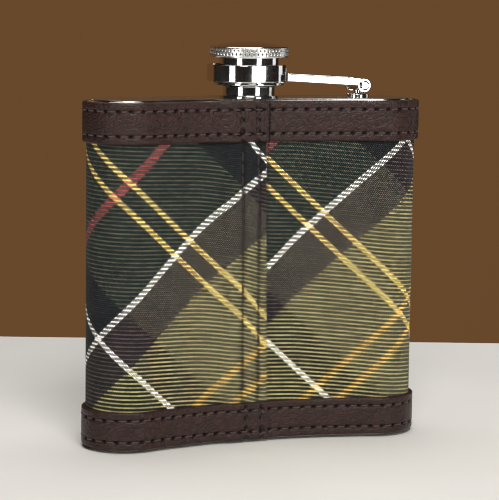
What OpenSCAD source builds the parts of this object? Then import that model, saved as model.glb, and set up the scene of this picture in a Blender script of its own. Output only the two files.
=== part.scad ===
// Captive-top hip flask: a rolled steel flask with a kidney-shaped section, wrapped in a
// bias-cut tartan panel between two sewn leather cuffs, with a screw cap held by a hinged yoke.
// Frame: millimetres, +Z up, +X to the hinge side, -Y the hollow side that lies against the body.
// The origin is the middle of the footprint, on the surface that the flask stands on.

/* [Body] */
// Width of the steel flask
body_w = 91.4; // [74:0.2:110]
// Thickness of the steel flask at its middle
body_t = 18.8; // [15.6:0.1:22.6]
// Depth of the hollow side, from its middle to its two lobes
body_bow = 4.9; // [4:0.1:6]
// Radius of the rounded ends
end_r = 9.6; // [8:0.1:11.4]
// Height of the steel flask, without the neck
body_h = 94; // [78:0.5:114]
// Thickness of the steel sheet
sheet_t = 0.6; // [0.5:0.05:0.75]
// Depth of the step that stiffens the top plate
plate_step = 0.4; // [0.3:0.05:0.6]
// Depth of the recess under the base
base_recess = 1.2; // [1:0.1:1.5]
// Width of the ring that the flask stands on
foot_w = 1.6; // [1.3:0.1:2]

/* [Wrap] */
// Thickness of the backing board that is glued to the steel
backing_t = 0.5; // [0.4:0.05:0.7]
// Thickness of the tartan cloth
fabric_t = 0.7; // [0.55:0.05:0.9]
// Thickness of the cuff leather
leather_t = 1.1; // [0.9:0.05:1.4]
// Height of the top cuff
top_cuff_h = 10.9; // [9:0.1:13.1]
// Height of the bottom cuff
bottom_cuff_h = 10.2; // [8.5:0.1:12.3]
// Height of bare steel above the top cuff
top_reveal = 0.5; // [0.4:0.1:0.7]
// Height of bare steel under the bottom cuff
bottom_reveal = 1; // [0.8:0.1:1.3]
// How far the overlapped edge stands proud of the layer under it
lap_t = 0.8; // [0.6:0.05:1]
// Width of the overlap
lap_w = 10.3; // [8.5:0.1:12.4]
// Distance of the overlapped edge from the middle of the hollow side
lap_x = 1.3; // [1.1:0.1:1.6]

/* [Stitching] */
// Width and height of a row of sewing thread
thread_w = 0.5; // [0.4:0.05:0.6]
// How far a row of thread stands proud
thread_t = 0.25; // [0.2:0.05:0.3]
// Distance of each row on the cuffs from the cuff's edge
row_inset = 2.2; // [1.8:0.1:2.7]
// Distance of the first row of the seam from the overlapped edge
seam_inset = 1.8; // [1.5:0.1:2.2]
// Distance between the two rows of the seam
seam_gap = 4.6; // [3.8:0.1:5.6]

/* [Neck] */
// Radius of the bore, which the drink and a funnel's stem pass through
bore_r = 5.5; // [4.4:0.1:6.6]
// Thickness of the neck's wall under the thread
neck_wall = 0.65; // [0.5:0.05:0.8]
// Depth of the thread
thread_depth = 0.5; // [0.4:0.05:0.6]
// Pitch of the thread
thread_pitch = 1.5; // [1.2:0.1:1.8]
// Turns of the thread
thread_turns = 2.5; // [2:0.5:3]
// Height of the plain lip above the thread
mouth_lip = 0.3; // [0.2:0.05:0.4]
// How far the plain collar stands out past the thread
collar_step = 0.55; // [0.45:0.05:0.7]
// Height of the plain collar above its foot
collar_h = 2.6; // [2.1:0.1:3.2]
// How far the foot that is welded to the top plate stands out past the collar
foot_step = 0.9; // [0.7:0.1:1.1]
// Height of the foot
foot_h = 0.6; // [0.5:0.1:0.8]

/* [Cap] */
// Clearance between the neck's thread and the cap, which lets the cap swing off
cap_gap = 0.65; // [0.5:0.05:0.8]
// Thickness of the insert's wall
insert_t = 0.35; // [0.25:0.05:0.45]
// Thickness of the skirt that the yoke's loop surrounds
skirt_t = 0.55; // [0.45:0.05:0.7]
// Free height of the skirt between the loop and the head
skirt_free = 2; // [1.6:0.1:2.4]
// How far the knurled head stands out past the skirt
head_lip = 2.6; // [2.1:0.1:3.2]
// Height of the knurled head
head_h = 2.9; // [2.3:0.1:3.5]
// Rise of the domed top over the knurled edge
dome_h = 1.3; // [1:0.1:1.6]
// How far the ring that keeps the cap in the loop stands out past the skirt
keeper_w = 1.5; // [1.2:0.1:1.8]
// Height of the keeper ring
keeper_h = 0.8; // [0.6:0.1:1]
// Thickness of the gasket
gasket_t = 0.8; // [0.6:0.1:1]

/* [Yoke] */
// Thickness of the yoke's strip
strip_t = 0.9; // [0.7:0.05:1.1]
// Height of the loop
loop_h = 4.6; // [3.8:0.1:5.6]
// Clearance between the loop and the cap's skirt, front and back
loop_gap = 0.8; // [0.6:0.05:1]
// How far the loop's closed end reaches past the skirt
loop_nose = 3; // [2.5:0.1:3.6]
// Radius of the loop's corners
loop_corner = 7.5; // [6.2:0.1:9]
// Height of the two arms
arm_h = 2.1; // [1.7:0.1:2.6]
// Distance between the middles of the two arms
arm_gap = 9.2; // [7.6:0.1:11.1]
// How far the arms' round ends stand out past the hinge pin
lug_wall = 1.15; // [0.9:0.05:1.4]

/* [Hinge] */
// Distance of the hinge pin from the cap's axis
hinge_x = 32.4; // [27:0.1:39]
// Height of the hinge pin above the top plate
hinge_h = 3.2; // [2.9:0.1:3.9]
// Radius of the hinge pin
pin_r = 0.8; // [0.7:0.05:0.9]
// How far the pin's heads stand out past the pin
pin_head_step = 0.55; // [0.4:0.05:0.7]
// Height of the pin's heads
pin_head_h = 0.5; // [0.4:0.05:0.6]
// Thickness of the bracket's barrel round the pin
barrel_wall = 0.8; // [0.6:0.05:1]
// Radius of the bracket's stem
stem_r = 0.95; // [0.8:0.05:1.2]
// Radius of the bracket's foot
bracket_foot_r = 3.2; // [2.7:0.1:3.7]
// Height of the bracket's foot
bracket_foot_h = 0.7; // [0.6:0.05:0.85]

/* [Hidden] */
$fn = 96;

// Clearances
run_gap = 0.05;      // hinge pin in the arms' holes
press_gap = 0.01;    // hinge pin in the bracket's barrel
side_gap = 0.2;      // sideways, between the arms, the barrel and the pin's heads
seat_gap = 0.2;      // between the loop and the keeper ring, and between skirt and collar
over = 1;            // how far cutting tools run past what they cut

// The kidney outline is four arcs, each tangent to the next: two round ends, the back and
// the hollow front. Growing the outline keeps the arcs' centres.
end_x = body_w / 2 - end_r;
front_y = -(body_t - body_bow) / 2;
back_y = front_y + body_t;
end_y = front_y + end_r - body_bow;
end_rise = end_y - front_y;
front_r = (end_x * end_x + end_rise * end_rise - end_r * end_r) / (2 * body_bow);
end_drop = back_y - end_y;
back_r = (end_x * end_x + end_drop * end_drop - end_r * end_r) / (2 * (end_drop - end_r));

// Layers of the wrap, as growths of the steel's outline
backing_out = backing_t;
fabric_out = backing_out + fabric_t;
leather_out = fabric_out + leather_t;

// Heights
sleeve_z0 = base_recess + sheet_t;
sleeve_z1 = body_h - plate_step - sheet_t;
plate_z1 = body_h - plate_step;
bottom_cuff_z0 = bottom_reveal;
bottom_cuff_z1 = bottom_cuff_z0 + bottom_cuff_h;
top_cuff_z1 = body_h - top_reveal;
top_cuff_z0 = top_cuff_z1 - top_cuff_h;
collar_z1 = body_h + foot_h + collar_h;
thread_z0 = collar_z1 + 0.5 * thread_pitch;
mouth_z = thread_z0 + (thread_turns + 0.36) * thread_pitch + mouth_lip;
skirt_z0 = collar_z1 + seat_gap;
keeper_z1 = skirt_z0 + keeper_h;
loop_z0 = keeper_z1 + seat_gap;
loop_z1 = loop_z0 + loop_h;
head_z0 = max(loop_z1 + skirt_free, mouth_z + gasket_t + insert_t);
head_z1 = head_z0 + head_h;
hinge_z = body_h + hinge_h;

// The neck, the cap and the hinge stand on the middle of the section
axis_y = front_y + body_t / 2;
core_r = bore_r + neck_wall;
thread_crest_r = core_r + thread_depth;
collar_r = thread_crest_r + collar_step;
foot_r = collar_r + foot_step;
insert_in_r = thread_crest_r + cap_gap;
insert_r = insert_in_r + insert_t;
skirt_r = insert_r + skirt_t;
keeper_r = skirt_r + keeper_w;
head_r = skirt_r + head_lip;
lug_r = pin_r + lug_wall;
barrel_r = pin_r + barrel_wall;
loop_half = skirt_r + loop_gap + strip_t;
loop_x0 = -(skirt_r + loop_nose);
loop_x1 = skirt_r + loop_gap + strip_t;
arm_y = arm_gap / 2;

// Overlap of the wrap
lap_x0 = lap_x - lap_w;
seam_x = lap_x - seam_inset;
seam_inner_x = seam_x - seam_gap;

module kidney(grow) {
    reach = over + leather_out + lap_t;
    front_c = [0, front_y - front_r];
    back_c = [0, back_y - back_r];
    end_c = [end_x, end_y];
    to_front = (end_c - front_c) / norm(end_c - front_c);
    to_back = (end_c - back_c) / norm(end_c - back_c);
    low = front_c + (front_r - grow - reach) * to_front;
    high = back_c + (back_r + grow + reach) * to_back;
    union() {
        for (side = [-1, 1])
            translate([side * end_x, end_y]) circle(r = end_r + grow);
        difference() {
            intersection() {
                translate(back_c) circle(r = back_r + grow);
                polygon([low, end_c, high, [0, back_y + grow + reach],
                    [-high[0], high[1]], [-end_x, end_y], [-low[0], low[1]]]);
            }
            translate(front_c) circle(r = front_r - grow);
        }
    }
}

module kidney_slab(grow, z0, z1) {
    translate([0, 0, z0]) linear_extrude(z1 - z0) kidney(grow);
}

module kidney_ring(inner, outer, z0, z1) {
    translate([0, 0, z0]) linear_extrude(z1 - z0) difference() {
        kidney(outer);
        kidney(inner);
    }
}

// The stretch of a ring on the hollow side, from x0 to x1
module front_strip(inner, outer, x0, x1, z0, z1) {
    translate([0, 0, z0]) linear_extrude(z1 - z0) intersection() {
        difference() {
            kidney(outer);
            kidney(inner);
        }
        translate([x0, front_y - body_t]) square([x1 - x0, body_t]);
    }
}

module body_sleeve() color("silver") kidney_ring(-sheet_t, 0, sleeve_z0, sleeve_z1);

module top_plate() color("silver") difference() {
    union() {
        kidney_slab(0, sleeve_z1, plate_z1);
        kidney_slab(-sheet_t, plate_z1, body_h);
    }
    translate([0, axis_y, sleeve_z1 - over]) cylinder(r = core_r, h = body_h);
}

module base_plate() color("silver") difference() {
    kidney_slab(0, 0, sleeve_z0);
    kidney_slab(-foot_w, -over, base_recess);
}

// The thread is a ridge with a trapezium section, swept along a helix from its own formula
module thread_ridge(root_r, crest_r, pitch, turns, z0) {
    steps = 30;
    start = 25;
    count = round(steps * turns);
    root_half = pitch * 0.36;
    crest_half = pitch * 0.12;
    section = function(i) let (
        z = z0 + pitch * i / steps,
        grown = min(1, 0.2 + i / 6, 0.2 + (count - i) / 6),
        crest = root_r + grown * (crest_r - root_r),
        buried = root_r - 0.3)
        [[buried, z - root_half], [crest, z - crest_half], [crest, z + crest_half],
            [buried, z + root_half]];
    points = [for (i = [0:count]) let (angle = start + 360 * i / steps) for (p = section(i))
        [p[0] * cos(angle), p[0] * sin(angle), p[1]]];
    sides = [for (i = [0:count - 1]) for (k = [0:3]) let (a = 4 * i + k, b = 4 * i + (k + 1) % 4)
        each [[a, b + 4, a + 4], [a, b, b + 4]]];
    last = 4 * count;
    ends = [[0, 2, 1], [0, 3, 2], [last, last + 1, last + 2], [last, last + 2, last + 3]];
    polyhedron(points, concat(sides, ends));
}

module neck() color("gainsboro") translate([0, axis_y, 0]) difference() {
    union() {
        translate([0, 0, sleeve_z1]) cylinder(r = core_r, h = mouth_z - sleeve_z1);
        translate([0, 0, body_h]) cylinder(r = foot_r, h = foot_h);
        translate([0, 0, body_h + foot_h]) cylinder(r = collar_r, h = collar_h);
        thread_ridge(core_r, thread_crest_r, thread_pitch, thread_turns, thread_z0);
    }
    translate([0, 0, sleeve_z1 - over]) cylinder(r = bore_r, h = mouth_z);
}

module hinge_bracket() color("gainsboro") translate([hinge_x, axis_y, 0]) {
    half = arm_y - strip_t / 2 - side_gap;
    difference() {
        union() {
            translate([0, 0, body_h]) cylinder(r = bracket_foot_r, h = bracket_foot_h);
            translate([0, 0, body_h]) cylinder(r = stem_r, h = hinge_h);
            translate([0, half, hinge_z]) rotate([90, 0, 0]) cylinder(r = barrel_r, h = 2 * half);
        }
        translate([0, half + over, hinge_z]) rotate([90, 0, 0])
            cylinder(r = pin_r + press_gap, h = 2 * (half + over));
    }
}

module hinge_pin() color("silver") translate([hinge_x, axis_y, hinge_z]) {
    half = arm_y + strip_t / 2 + side_gap;
    rotate([90, 0, 0]) {
        translate([0, 0, -half]) cylinder(r = pin_r, h = 2 * half);
        for (side = [-1, 1])
            translate([0, 0, side > 0 ? half : -half - pin_head_h])
                cylinder(r = pin_r + pin_head_step, h = pin_head_h);
    }
}

module wrap_backing() color("tan") kidney_ring(0, backing_out, bottom_cuff_z0, top_cuff_z1);

module fabric_wrap() color("darkolivegreen") union() {
    kidney_ring(backing_out, fabric_out, bottom_cuff_z0, top_cuff_z1);
    front_strip(backing_out, fabric_out + lap_t, lap_x0, lap_x, bottom_cuff_z1, top_cuff_z0);
}

module cuff(z0, z1) color("saddlebrown") union() {
    kidney_ring(fabric_out, leather_out, z0, z1);
    front_strip(fabric_out, leather_out + lap_t, lap_x0, lap_x, z0, z1);
}

module top_cuff() cuff(top_cuff_z0, top_cuff_z1);
module bottom_cuff() cuff(bottom_cuff_z0, bottom_cuff_z1);

// One row of sewing round a cuff: it steps out over the overlap
module cuff_thread(z) color("sienna") {
    z0 = z - thread_w / 2;
    z1 = z + thread_w / 2;
    difference() {
        kidney_ring(leather_out, leather_out + thread_t, z0, z1);
        translate([lap_x0, front_y - body_t, z0 - over])
            cube([lap_w, body_t, thread_w + 2 * over]);
    }
    front_strip(leather_out + lap_t, leather_out + lap_t + thread_t, lap_x0, lap_x, z0, z1);
}

module top_cuff_upper_thread() cuff_thread(top_cuff_z1 - row_inset);
module top_cuff_lower_thread() cuff_thread(top_cuff_z0 + row_inset);
module bottom_cuff_upper_thread() cuff_thread(bottom_cuff_z1 - row_inset);
module bottom_cuff_lower_thread() cuff_thread(bottom_cuff_z0 + row_inset);

// One upright row of sewing through the overlap, in three stretches between the cuffs' rows
module seam_thread(x) color("sienna") {
    cloth = fabric_out + lap_t;
    hide = leather_out + lap_t;
    x0 = x - thread_w / 2;
    x1 = x + thread_w / 2;
    row = row_inset + thread_w / 2 + side_gap;
    front_strip(cloth, cloth + thread_t, x0, x1, bottom_cuff_z1, top_cuff_z0);
    for (z0 = [bottom_cuff_z0, top_cuff_z0])
        front_strip(hide, hide + thread_t, x0, x1, z0 + row,
            z0 + (z0 == top_cuff_z0 ? top_cuff_h : bottom_cuff_h) - row);
}

module seam_edge_thread() seam_thread(seam_x);
module seam_inner_thread() seam_thread(seam_inner_x);

module rounded(x0, x1, half, r) {
    union() {
        translate([x0 + r, -half]) square([x1 - x0 - 2 * r, 2 * half]);
        translate([x0, r - half]) square([x1 - x0, 2 * (half - r)]);
        for (x = [x0 + r, x1 - r]) for (y = [-half + r, half - r])
            translate([x, y]) circle(r = r);
    }
}

// One strip: a loop round the cap's skirt, whose two ends run on as arms to the hinge
module yoke() color("gainsboro") translate([0, axis_y, 0]) {
    inside = arm_y - strip_t / 2;
    root_x = loop_x1 - strip_t;
    corner = min(loop_corner, loop_half - over);
    lug_top = hinge_z + lug_r;
    rise = 1.2;
    shoulder = 1;
    difference() {
        union() {
            translate([0, 0, loop_z0]) linear_extrude(loop_h) difference() {
                rounded(loop_x0, loop_x1, loop_half, corner);
                rounded(loop_x0 + strip_t, root_x, loop_half - strip_t, corner - strip_t);
                translate([0, -inside]) square([loop_half + over, 2 * inside]);
            }
            for (side = [-1, 1]) translate([0, side * arm_y + strip_t / 2, 0])
                rotate([90, 0, 0]) linear_extrude(strip_t) union() {
                    polygon([[root_x, loop_z0], [root_x, loop_z1 - loop_h / 3],
                        [loop_x1, loop_z1 - loop_h / 3],
                        [loop_x1 + shoulder, lug_top + rise],
                        [hinge_x, lug_top], [hinge_x, lug_top - arm_h],
                        [loop_x1 + shoulder, max(loop_z0, lug_top + rise - arm_h)],
                        [loop_x1, loop_z0]]);
                    translate([hinge_x, hinge_z]) circle(r = lug_r);
                }
        }
        translate([hinge_x, loop_half, hinge_z]) rotate([90, 0, 0])
            cylinder(r = pin_r + run_gap, h = 2 * loop_half);
    }
}

// Half profile of the head: a knurled rim under a dome that is one arc
module cap_shell() color("gainsboro") translate([0, axis_y, 0]) {
    chamfer = 0.3;
    dome_r = head_r - 2 * chamfer;
    arc_r = (dome_r * dome_r + dome_h * dome_h) / (2 * dome_h);
    steps = 8;
    span = asin(dome_r / arc_r);
    dome = [for (i = [0:steps]) let (a = span * (1 - i / steps))
        [i == steps ? 0 : arc_r * sin(a), head_z1 + dome_h - arc_r * (1 - cos(a))]];
    union() {
        rotate_extrude() polygon(concat(
            [[0, head_z0], [head_r - chamfer, head_z0], [head_r, head_z0 + chamfer],
                [head_r, head_z1 - chamfer], [head_r - chamfer, head_z1]], dome));
        translate([0, 0, skirt_z0]) difference() {
            cylinder(r = skirt_r, h = head_z0 - skirt_z0);
            translate([0, 0, -over]) cylinder(r = insert_r, h = head_z0 - skirt_z0 + over);
        }
    }
}

module cap_insert() color("white") translate([0, axis_y, 0]) {
    ceiling_z = mouth_z + gasket_t;
    difference() {
        translate([0, 0, skirt_z0]) cylinder(r = insert_r, h = head_z0 - skirt_z0);
        translate([0, 0, skirt_z0 - over])
            cylinder(r = insert_in_r, h = ceiling_z - skirt_z0 + over);
    }
}

module cap_gasket() color("lightgray") translate([0, axis_y, mouth_z])
    cylinder(r = insert_in_r, h = gasket_t);

module cap_keeper_ring() color("gainsboro") translate([0, axis_y, skirt_z0]) difference() {
    cylinder(r = keeper_r, h = keeper_h);
    translate([0, 0, -over]) cylinder(r = skirt_r, h = keeper_h + 2 * over);
}

body_sleeve();
top_plate();
base_plate();
neck();
hinge_bracket();
hinge_pin();
wrap_backing();
fabric_wrap();
top_cuff();
bottom_cuff();
top_cuff_upper_thread();
top_cuff_lower_thread();
bottom_cuff_upper_thread();
bottom_cuff_lower_thread();
seam_edge_thread();
seam_inner_thread();
yoke();
cap_shell();
cap_insert();
cap_gasket();
cap_keeper_ring();
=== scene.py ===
import math

import bmesh
import bpy
import numpy as np
from mathutils import Matrix, Vector
from mathutils.geometry import tessellate_polygon


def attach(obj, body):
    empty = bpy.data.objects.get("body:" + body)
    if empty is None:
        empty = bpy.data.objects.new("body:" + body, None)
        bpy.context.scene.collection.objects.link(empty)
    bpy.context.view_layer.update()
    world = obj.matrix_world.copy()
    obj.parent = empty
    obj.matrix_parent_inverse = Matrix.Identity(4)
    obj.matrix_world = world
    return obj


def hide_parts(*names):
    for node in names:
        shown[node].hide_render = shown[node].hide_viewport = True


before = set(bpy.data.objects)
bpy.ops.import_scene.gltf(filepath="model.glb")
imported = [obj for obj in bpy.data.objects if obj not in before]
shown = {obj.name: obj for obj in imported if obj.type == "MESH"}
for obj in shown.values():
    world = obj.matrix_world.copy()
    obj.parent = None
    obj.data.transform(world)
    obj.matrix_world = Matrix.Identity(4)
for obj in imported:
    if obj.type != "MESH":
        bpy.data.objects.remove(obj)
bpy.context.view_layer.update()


# ---- The steel body -------------------------------------------------------------------
# A kidney-shaped sleeve of 0.6 mm stainless sheet, hollow on the side that lies against
# the hip. A stepped top plate and a footed base plate are pressed from the same sheet and
# welded into its ends, then all of it is buffed bright.

# The section is four arcs: the hollow side, the far side and two round ends.
end_x, end_y, end_r = 36.1, -2.25, 9.6
front_r, back_r = 125.83, 156.65
front_y, back_y = -6.95, 11.85
front_cy, back_cy = front_y - front_r, back_y - back_r
axis_y = 2.45  # the neck and the cap stand on this line
front_half = math.atan2(end_x, end_y - front_cy)
back_half = math.atan2(end_x, end_y - back_cy)
end_turn = math.pi + front_half - back_half
cloth_face = 1.2  # how far the cloth's outside stands off the steel


def girth(out=cloth_face):
    """The length once round the flask, on a face that stands `out` off the steel."""
    return 2 * (front_r - out) * front_half + 2 * (end_r + out) * end_turn \
        + 2 * (back_r + out) * back_half


def outline(run, out=cloth_face):
    """Points on the steel, and their outward directions, for runs from the middle of the
    hollow side towards the hinge."""
    half_front, one_end = (front_r - out) * front_half, (end_r + out) * end_turn
    whole_back = (back_r + out) * 2 * back_half
    run = np.mod(np.asarray(run, float), girth(out))
    marks = np.cumsum([half_front, one_end, whole_back, one_end])
    place = np.searchsorted(marks, run)
    past = run - np.concatenate([[0], marks])[place]
    angle = np.choose(place, [
        -math.pi / 2 - past / (front_r - out),
        -math.pi / 2 - front_half + past / (end_r + out),
        math.pi / 2 - back_half + past / (back_r + out),
        math.pi / 2 + back_half + past / (end_r + out),
        -math.pi / 2 + front_half - past / (front_r - out)])
    way = np.stack([np.cos(angle), np.sin(angle)], -1)
    radius = np.choose(place, [-front_r, end_r, back_r, end_r, -front_r])
    centre = np.stack([np.choose(place, [0, end_x, 0, -end_x, 0]),
                       np.choose(place, [front_cy, end_y, back_cy, end_y, front_cy])], -1)
    return centre + radius[..., None] * way, way


def rounded(corners, steps=4):
    """A closed section with its corners (across, up, radius) rounded off. A point close to
    each end of a rounding keeps the flats beside it flat."""
    made, count = [], len(corners)
    for i, (x, z, r) in enumerate(corners):
        here = Vector((x, z))
        a = Vector(corners[i - 1][:2]) - here
        b = Vector(corners[(i + 1) % count][:2]) - here
        if r <= 0:
            made.append((x, z))
            continue
        half = a.angle(b) / 2
        cut = min(r / math.tan(half), 0.49 * a.length, 0.49 * b.length)
        p, q = here + a.normalized() * cut, here + b.normalized() * cut
        made.append(tuple(p + a.normalized() * min(0.05, 0.02 * a.length)))
        for k in range(steps + 1):
            t = k / steps
            made.append(tuple((1 - t) ** 2 * p + 2 * t * (1 - t) * here + t * t * q))
        made.append(tuple(q + b.normalized() * min(0.05, 0.02 * b.length)))
    return made


def grid_faces(rows, columns, rows_close=False, columns_close=True):
    """Quads of a grid of points, which may close on itself either way."""
    out = []
    for i in range(rows if rows_close else rows - 1):
        for j in range(columns if columns_close else columns - 1):
            n, m = (i + 1) % rows, (j + 1) % columns
            out.append((i * columns + j, n * columns + j, n * columns + m, i * columns + m))
    return out


def make_piece(name, points, faces, finish, body, stands_for, sharp=40):
    """A mesh in millimetres becomes a piece of the flask. Edges turned by more than sharp
    degrees show as edges; with 0 the piece is soft all over."""
    mesh = bpy.data.meshes.new(name)
    mesh.from_pydata((np.asarray(points, float) * 0.001).tolist(), [], faces)
    tidy = bmesh.new()
    tidy.from_mesh(mesh)
    bmesh.ops.recalc_face_normals(tidy, faces=tidy.faces)
    tidy.to_mesh(mesh)
    tidy.free()
    mesh.polygons.foreach_set("use_smooth", [True] * len(mesh.polygons))
    if sharp:
        mesh.set_sharp_from_angle(angle=math.radians(sharp))
    made = bpy.data.objects.new(name, mesh)
    bpy.context.scene.collection.objects.link(made)
    mesh.materials.append(finish)
    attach(made, body)
    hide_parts(*stands_for)
    return made


def plate(rings, hole=0.0, around=420):
    """A pressed plate: rings (out, up) go over its rim from the under face to the upper
    face, and both faces are filled, round a hole for the neck if it has one."""
    p, way = outline(np.linspace(0, girth(), around, endpoint=False))
    points = np.concatenate([np.column_stack([p + out * way, np.full(around, up)])
                             for out, up in rings])
    faces = grid_faces(len(rings), around)
    holes, sides = [], 72
    if hole:
        turn = np.linspace(0, 2 * math.pi, sides, endpoint=False)
        for up in (rings[0][1], rings[-1][1]):
            holes.append(len(points) + np.arange(sides))
            points = np.concatenate([points, np.column_stack(
                [hole * np.cos(turn), axis_y + hole * np.sin(turn), np.full(sides, up)])])
        low, high = holes
        faces += [(low[k], low[(k + 1) % sides], high[(k + 1) % sides], high[k])
                  for k in range(sides)]
    for side, first in enumerate((0, (len(rings) - 1) * around)):
        edge = list(range(first, first + around))
        loops = [edge] + ([list(holes[side])] if hole else [])
        flat = [i for loop in loops for i in loop]
        found = tessellate_polygon([[Vector(points[i]) for i in loop] for loop in loops])
        faces += [tuple(int(flat[i]) for i in tri) for tri in found]
    return points, faces


class Finish:
    """A material and a short way to add and join its nodes."""

    def __init__(self, name, **settings):
        self.material = bpy.data.materials.new(name)
        self.material.use_nodes = True
        self.nodes = self.material.node_tree.nodes
        self.shader = self.nodes["Principled BSDF"]
        for socket, value in settings.items():
            self.shader.inputs[socket.replace("_", " ")].default_value = value

    def put(self, socket, value):
        """Join a socket to another, or set it; None leaves it alone."""
        if isinstance(value, bpy.types.NodeSocket):
            self.material.node_tree.links.new(value, socket)
        elif value is not None:
            socket.default_value = value

    def node(self, kind, *inputs, out=0, **facts):
        """The output of a new node, with its inputs filled in order."""
        made = self.nodes.new("ShaderNode" + kind)
        for key, value in facts.items():
            setattr(made, key, value)
        for i, value in enumerate(inputs):
            self.put(made.inputs[i], value)
        return made.outputs[out]

    def sum(self, operation, *values, clamp=False):
        """One step of arithmetic."""
        return self.node("Math", *values, operation=operation, use_clamp=clamp)

    def place(self):
        return self.node("TexCoord", out="Object")

    def mark(self, name):
        """A value that the piece's own points carry."""
        return self.node("Attribute", out="Fac", attribute_name=name)

    def noise(self, where, scale, detail=3.0, rough=0.5, warp=0.0):
        made = self.nodes.new("ShaderNodeTexNoise")
        for socket, value in (("Vector", where), ("Scale", scale), ("Detail", detail),
                              ("Roughness", rough), ("Distortion", warp)):
            self.put(made.inputs[socket], value)
        return made.outputs["Fac"]

    def spread(self, value, low, high, to_low, to_high):
        """A value from low to high, stretched from to_low to to_high."""
        return self.node("MapRange", value, low, high, to_low, to_high)

    def mix(self, share, a, b, blend="MIX"):
        made = self.nodes.new("ShaderNodeMix")
        made.data_type, made.blend_type = "RGBA", blend
        for i, value in ((0, share), (6, a), (7, b)):
            self.put(made.inputs[i], value)
        return made.outputs[2]

    def bump(self, height, strength, distance):
        made = self.nodes.new("ShaderNodeBump")
        made.inputs["Strength"].default_value = strength
        made.inputs["Distance"].default_value = distance
        self.put(made.inputs["Height"], height)
        return made.outputs["Normal"]

    def wear(self, colour=None, rough=None, normal=None):
        """The finished material, with what makes its colour, gloss and relief."""
        for socket, value in (("Base Color", colour), ("Roughness", rough),
                              ("Normal", normal)):
            self.put(self.shader.inputs[socket], value)
        return self.material


def polished(name, colour, stain, rough, scuff, ripple, cut=None):
    """Bright metal: faint rubbing marks, fingerprints and a slightly wavy buffed face. cut
    names an attribute that says how deep a point lies in the knurling, from 1 to 2; the
    deepest points are rougher and are painted dark as shade in the knurl's grooves."""
    f = Finish(name, Metallic=1.0)
    where = f.place()
    smear = f.noise(where, 90.0, 4.0, 0.6, 0.4)
    fine = f.noise(f.node("Mapping", where, None, None, (1.0, 1.0, 9.0)), 900.0, 3.0, 0.6)
    shine = f.sum("ADD", f.spread(smear, 0.35, 0.75, rough, rough + scuff),
                  f.spread(fine, 0.5, 0.8, 0.0, scuff * 0.6))
    tint = f.mix(f.spread(smear, 0.3, 0.75, 0.0, 1.0), colour, stain)
    if cut:
        depth = f.mark(cut)
        shine = f.sum("ADD", shine, f.spread(depth, 0.0, 1.0, 0.0, 0.20))
        # Painted shade: the knurl's grooves are darkened in the colour.
        tint = f.mix(f.spread(depth, 1.1, 1.9, 0.0, 1.0), tint, (0.02, 0.018, 0.016, 1))
    return f.wear(tint, shine, f.bump(f.noise(where, 160.0, 2.0), 0.25, ripple))


steel = polished("buffed_steel", (0.56, 0.55, 0.53, 1), (0.47, 0.45, 0.43, 1),
                 0.13, 0.12, 0.00003)

top_rings = [(-1.5, 93.0), (0.0, 93.0), (0.0, 93.35), (-0.07, 93.52), (-0.2, 93.6),
             (-0.5, 93.61), (-0.57, 93.66), (-0.61, 93.8), (-0.68, 93.93), (-0.82, 94.0),
             (-1.3, 94.0), (-1.8, 94.0)]
points, faces = plate(top_rings, hole=6.15)
make_piece("top_plate_pressed", points, faces, steel, "flask", ["top_plate"], 50)

base_rings = [(-1.72, 1.2), (-1.62, 1.12), (-1.6, 0.95), (-1.58, 0.3), (-1.5, 0.1),
              (-1.3, 0.0), (-0.3, 0.0), (-0.1, 0.06), (0.0, 0.25), (0.0, 1.8), (-1.5, 1.8)]
points, faces = plate(base_rings)
make_piece("base_plate_pressed", points, faces, steel, "flask", ["base_plate"], 50)


def finish_cad(name, finish):
    """A piece that keeps its plain drawn shape gets its finish."""
    shown[name].data.materials.clear()
    shown[name].data.materials.append(finish)


finish_cad("body_sleeve", steel)


# ---- The neck -------------------------------------------------------------------------
# A turned steel filler neck: a foot brazed on the top plate, a bright collar, and a rolled
# thread of two and a half turns under a rounded mouth. It is nickel plated and polished.


def turned(section, around, shape=None):
    """A closed section (radius, up) spun about the cap's axis; shape changes a point's
    radius by its angle and height."""
    turn = np.linspace(0, 2 * math.pi, around, endpoint=False)
    section = np.asarray(section, float)
    radius = np.repeat(section[None, :, 0], around, 0)
    up = np.repeat(section[None, :, 1], around, 0)
    angle = np.repeat(turn[:, None], len(section), 1)
    if shape is not None:
        radius = shape(radius, angle, up)
    points = np.stack([radius * np.cos(angle), axis_y + radius * np.sin(angle), up], -1)
    return points.reshape(-1, 3), grid_faces(around, len(section), rows_close=True)


neck_bore_r, neck_core, neck_crest = 5.5, 6.15, 6.65
neck_pitch, neck_turns = 1.5, 2.5
neck_thread_z, neck_thread_start = 97.95, math.radians(25)


def rolled_thread(radius, angle, up):
    """The neck's wall with its thread, which fades out at both ends."""
    part_turn = np.mod(angle - neck_thread_start, 2 * math.pi) / (2 * math.pi)
    turn_no = (up - neck_thread_z) / neck_pitch - part_turn
    nearest = np.round(turn_no)
    off = np.abs(turn_no - nearest) * neck_pitch
    along = nearest + part_turn
    fade = np.clip(np.minimum(along, neck_turns - along) * 6 + 0.2, 0, 1)
    fade = np.where((along < -0.02) | (along > neck_turns + 0.02), 0, fade)
    ridge = np.clip((0.54 - off) / 0.36, 0, 1)
    ridge = ridge * ridge * (3 - 2 * ridge)
    on_wall = np.abs(radius - neck_core) < 0.02
    return radius + np.where(on_wall, ridge * fade * (neck_crest - neck_core), 0)


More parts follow.
